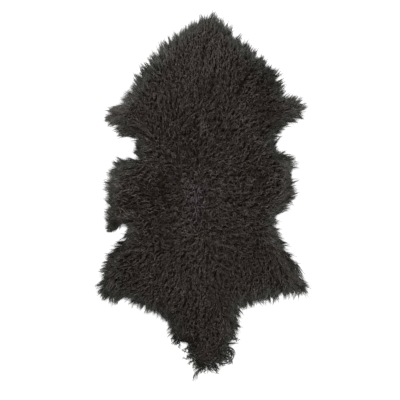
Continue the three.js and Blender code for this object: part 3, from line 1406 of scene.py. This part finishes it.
# Each curl's place, heading, length and bend, then the number, the spread and the radius of its strands.
CURLS = (
    Curl(2, -456, 190, 50, 82, 6, 0.7, 0.9),
    Curl(-4, -447, 210, 30, 25, 5, 1.3, 0.8),
    Curl(-16, -432, 204, 30, 15, 6, 1.3, 0.8),
    Curl(-30, -392, 232, 34, -40, 4, 1.3, 0.8),
    Curl(-34, -406, 250, 30, 70, 4, 1.3, 0.8),
    Curl(-62, -380, 205, 28, 25, 5, 1.3, 0.8),
    Curl(58, -390, -6, 40, 18, 7, 1.3, 1.0),
    Curl(64, -409, 15, 58, -225, 7, 1.3, 0.9),
    Curl(62, -426, 25, 46, -240, 5, 1.3, 0.8),
    Curl(66, -402, 5, 34, -110, 5, 1.3, 0.8),
    Curl(48, -443, -25, 34, 80, 5, 1.3, 0.8),
    Curl(84, -330, -38, 26, -30, 5, 1.3, 0.8),
    Curl(94, -300, -52, 26, 10, 5, 1.3, 0.8),
    Curl(64, 408, 74, 42, -8, 5, 1.3, 0.7),
    Curl(198, 96, 9, 46, -14, 10, 2.2, 1.0),
    Curl(192, 99, 26, 32, 4, 6, 1.3, 0.8),
    Curl(-235, 198, 186, 28, 18, 7, 1.3, 0.8),
    Curl(-233, 190, 205, 28, 25, 6, 1.3, 0.8),
    Curl(-220, -70, 246, 36, -10, 9, 2.6, 1.0),
    Curl(-230, -68, 238, 40, -8, 9, 2.6, 1.0),
    Curl(-214, -72, 250, 28, -10, 7, 2.0, 1.0),
    Curl(206, 84, 22, 46, -8, 10, 2.5, 0.9),
    Curl(252, -226, -54, 42, 4, 10, 3.0, 0.9),
    Curl(246, -236, -48, 34, 0, 8, 2.5, 0.9),
    Curl(242, -184, -58, 52, 0, 12, 3.0, 0.9),
    Curl(172, -254, -84, 36, 4, 12, 2.2, 1.0),
    Curl(-214, -140, 172, 28, 4, 9, 3.0, 0.9),
    Curl(-188, -90, 204, 22, 6, 7, 2.5, 0.9),
    Curl(80, -340, -22, 28, -10, 8, 3.0, 0.9),
    Curl(-66, -366, 218, 26, 10, 7, 2.5, 0.9),
    Curl(-148, 308, 152, 26, -6, 8, 3.0, 0.9),
    Curl(210, -20, -10, 30, -6, 8, 3.0, 0.9),
    Curl(0, -440, -72, 38, -50, 14, 5.0, 0.9),
    Curl(18, -442, -88, 34, 60, 14, 5.0, 0.9),
    Curl(254, -236, -56, 44, 0, 12, 2.5, 0.9),
    Curl(122, -274, -84, 28, 6, 8, 2.2, 1.0),
)


@dataclass
class Fleece:
    """All the locks of the pelt, in one piece for each region, with the fringe and stray hairs at the rim."""

    survey: PeltSurvey
    tufts: Tufts
    rim_tufts: Tufts
    pitch: float = 4.35 * MM
    inset: float = 2 * MM
    middle_pile: float = 0.75
    rim_pile: float = 0.6
    furrow_bare: float = 0.4
    furrow_full: float = 3.0
    fringe_pitch: float = 2.9 * MM
    fringe_inset: float = 1 * MM
    fringe_depth: float = 40 * MM
    fringe_thick: float = 10 * MM
    fringe_thin: float = 0.22
    edge: float = 15 * MM
    stray_share: float = 0.3
    tail_end: float = -360 * MM
    ringlet_share: float = 0.5
    haze_share: float = 0.35
    seed: int = 41
    lock: LockGrowth = LockGrowth(
        stations=9, length=20 * MM, radius=1.42 * MM, curl=1.9 * MM, curl_length=9 * MM,
        stray=math.radians(18), depth=9 * MM, reach=14 * MM, reach_uneven=4 * MM, seed=51,
        settle=0.36, calm=0.55,
    )
    fringe: LockGrowth = LockGrowth(
        stations=6, length=36 * MM, radius=1.0 * MM, curl=1.0 * MM, curl_length=18 * MM,
        stray=math.radians(7), depth=2 * MM, reach=24 * MM, reach_uneven=10 * MM, seed=61, gather=0.85,
        point=1.5, tip=0.12, tone_spread=0.22,
    )
    stray: LockGrowth = LockGrowth(
        stations=6, length=36 * MM, radius=0.34 * MM, curl=1.4 * MM, curl_length=22 * MM,
        stray=math.radians(22), reach=19 * MM, seed=71, tip_lift=2 * MM,
    )
    ringlet: LockGrowth = LockGrowth(
        stations=14, length=34 * MM, radius=1.5 * MM, curl=3.0 * MM, curl_length=11 * MM,
        stray=math.radians(26), depth=2 * MM, reach=25 * MM, seed=81, uneven=0.25, gather=0.7, tip=0.5,
        tone=0.45, tone_spread=0.10,
    )
    haze: LockGrowth = LockGrowth(
        stations=5, length=32 * MM, radius=0.16 * MM, curl=1.2 * MM, curl_length=16 * MM,
        stray=math.radians(24), reach=17 * MM, seed=91, uneven=0.4, tip_lift=2 * MM,
    )

    def build(self) -> list[Piece]:
        """Grows all the wool, in pieces from neck to tail and then at the rim."""
        rng = np.random.default_rng(self.seed)
        return self.back(rng) + self.rim(rng)

    def back(self, rng: Draws) -> list[Piece]:
        """Grows the wool all over the pelt.

        Args:
            rng: Source of unevenness.

        Returns:
            One piece for each region.
        """
        roots = self.survey.scatter(self.pitch, self.inset, rng)
        inner = eased(self.survey.inland.at(roots) / self.fringe_depth)
        thick = self.rim_pile + (1 - self.rim_pile) * inner
        thick = thick * (self.middle_pile + (1 - self.middle_pile) * self.tufts.comb.at_ends(roots))
        parted = np.clip(-summed(FURROW_LINES, roots) / self.furrow_full, 0, 1)
        thick = thick * (1 - self.furrow_bare * parted)
        roots = roots[rng.uniform(0, 1, len(roots)) < thick]
        locks = self.lock.grow(roots, self.tufts)
        pieces = []
        upper = math.inf
        for region in Region:
            within = (roots[:, 1] >= region.value) & (roots[:, 1] < upper)
            pieces.append(locks.picked(within).mesh(f"fleece_{region.name.lower()}"))
            upper = region.value
        return pieces

    def rim(self, rng: Draws) -> list[Piece]:
        """Grows the fringe, the ringlets at the tail, the loose curls and the stray hairs.

        Args:
            rng: Source of unevenness.

        Returns:
            The fringe in two halves, the ringlets, the curls and the hairs.
        """
        roots = self.survey.scatter(self.fringe_pitch, self.fringe_inset, rng)
        inner = (self.survey.inland.at(roots) - self.fringe_thick) / (self.fringe_depth - self.fringe_thick)
        kept = rng.uniform(0, 1, len(roots)) < 1 - (1 - self.fringe_thin) * eased(inner)
        roots = roots[kept & (inner < 1)]
        chance = rng.uniform(0, 1, len(roots))
        tail = roots[:, 1] < self.tail_end
        curly = tail & (chance < self.ringlet_share)
        edge = self.survey.inland.at(roots) < self.edge
        loose = roots[edge & (chance < self.stray_share)]
        hairs = rng.poisson(self.haze_share + summed(HAIR_PATCHES, roots))
        hazy = np.repeat(roots, (edge & ~tail) * hairs, axis=0)
        fringe = self.fringe.grow(roots[~tail], self.rim_tufts)
        left = roots[~tail, 0] < 0
        curls = LockBatch.joined([curl.grow(self.survey, rng) for curl in CURLS])
        return [
            fringe.picked(left).mesh("rim_locks_left"),
            fringe.picked(~left).mesh("rim_locks_right"),
            self.ringlet.grow(roots[curly], self.tufts).mesh("tail_ringlets"),
            curls.mesh("loose_curls"),
            self.stray.grow(loose, self.tufts, summed(WISPS, loose, MM)).mesh("stray_hairs"),
            self.haze.grow(hazy, self.tufts, summed(WISPS, hazy, MM)).mesh("fine_hairs"),
        ]

    def dress(self, pieces: list[Piece], group: NodeTree) -> None:
        """Gives the pieces the shades of wool.

        Args:
            pieces: The pieces of fleece.
            group: The shared lock group.
        """
        materials = [WOOL_FINISHES[kind].material(group) for kind in WoolKind]
        for piece in pieces:
            for material in materials:
                piece.data.materials.append(material)


@dataclass(frozen=True)
class Softbox:
    """A square lamp that faces the middle of the rug."""

    name: str
    size: float
    power: float
    place: tuple[float, float, float]

    def hang(self) -> None:
        """Hangs the lamp in its place."""
        lamp = bpy.data.lights.new(self.name, "AREA")
        lamp.shape = "SQUARE"
        lamp.size = self.size
        lamp.energy = self.power
        box = placed(self.name, lamp)
        box.location = self.place
        box.rotation_euler = (-box.location).to_track_quat("-Z", "Y").to_euler()


@dataclass
class Studio:
    """Plain pale floor, soft light from above and a camera that looks straight down."""

    floor_size: float = 9.0
    floor_tone: tuple[float, float, float] = (0.92, 0.92, 0.92)
    floor_roughness: float = 0.9
    floor_specular: float = 0.1
    view_width: float = 1.040
    view_middle: tuple[float, float, float] = (-7.4 * MM, -15.6 * MM, 20 * MM)
    lens: float = 85.0
    sensor: float = 36.0
    sky: float = 0.235
    lamps: tuple[Softbox, ...] = (
        Softbox("key_softbox", 0.9, 79.0, (-1.3, 1.5, 2.6)),
        Softbox("fill_softbox", 1.6, 56.0, (1.4, -1.4, 2.6)),
    )

    def build(self) -> None:
        """Sets the stage."""
        self.lay_floor()
        self.light()
        self.aim_camera()

    def lay_floor(self) -> None:
        """Lays the floor under the rug."""
        ground = bmesh.new()
        bmesh.ops.create_grid(ground, x_segments=1, y_segments=1, size=self.floor_size / 2)
        floor = modelled("floor", ground)
        material = bpy.data.materials.new("floor_white")
        material.use_nodes = True
        shader = material.node_tree.nodes["Principled BSDF"]
        shader.inputs["Base Color"].default_value = (*self.floor_tone, 1)
        shader.inputs["Roughness"].default_value = self.floor_roughness
        shader.inputs["Specular IOR Level"].default_value = self.floor_specular
        floor.data.materials.append(material)

    def light(self) -> None:
        """Hangs the softboxes over the rug in an evenly lit white room."""
        scene = bpy.context.scene
        scene.view_settings.view_transform = "Standard"
        scene.cycles.denoising_prefilter = "NONE"
        world = bpy.data.worlds.new("room")
        world.use_nodes = True
        sky = world.node_tree.nodes["Background"]
        sky.inputs["Color"].default_value = (1, 1, 1, 1)
        sky.inputs["Strength"].default_value = self.sky
        scene.world = world
        for softbox in self.lamps:
            softbox.hang()

    def aim_camera(self) -> None:
        """Puts the camera over the rug, with the neck at the top of the picture."""
        data = bpy.data.cameras.new("camera")
        data.lens = self.lens
        data.sensor_width = self.sensor
        camera = placed("camera", data)
        distance = self.view_width * self.lens / self.sensor
        camera.location = Vector(self.view_middle) + Vector((0, 0, distance))
        bpy.context.scene.camera = camera


def main() -> None:
    """Builds the rug and its stage."""
    logging.basicConfig(level=logging.INFO)
    survey = PeltSurvey()
    comb = Comb()
    furrows = Furrows(survey, comb)
    tufts = Tufts(survey, comb, furrows)
    rim_tufts = Tufts(survey, comb, furrows, pitch=12 * MM, stray=math.radians(14), seed=23)
    nap = nap_paint()
    skin_layer = Skin(survey)
    skin = skin_layer.build()
    skin.data.materials.append(SUEDE.material(nap))
    undercoat = Undercoat(survey).build()
    undercoat.data.materials.append(UNDERCOAT.material(nap))
    fleece = Fleece(survey, tufts, rim_tufts)
    wool = fleece.build()
    fleece.dress(wool, lock_paint())
    total = 0
    for piece in [skin, undercoat, *wool]:
        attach(piece, BODY)
        triangles = sum(len(face.vertices) - 2 for face in piece.data.polygons)
        total += triangles
        log.info("%s: %d triangles", piece.name, triangles)
    log.info("all pieces: %d triangles", total)
    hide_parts(NODE)
    Studio().build()


if __name__ == "__main__":
    main()
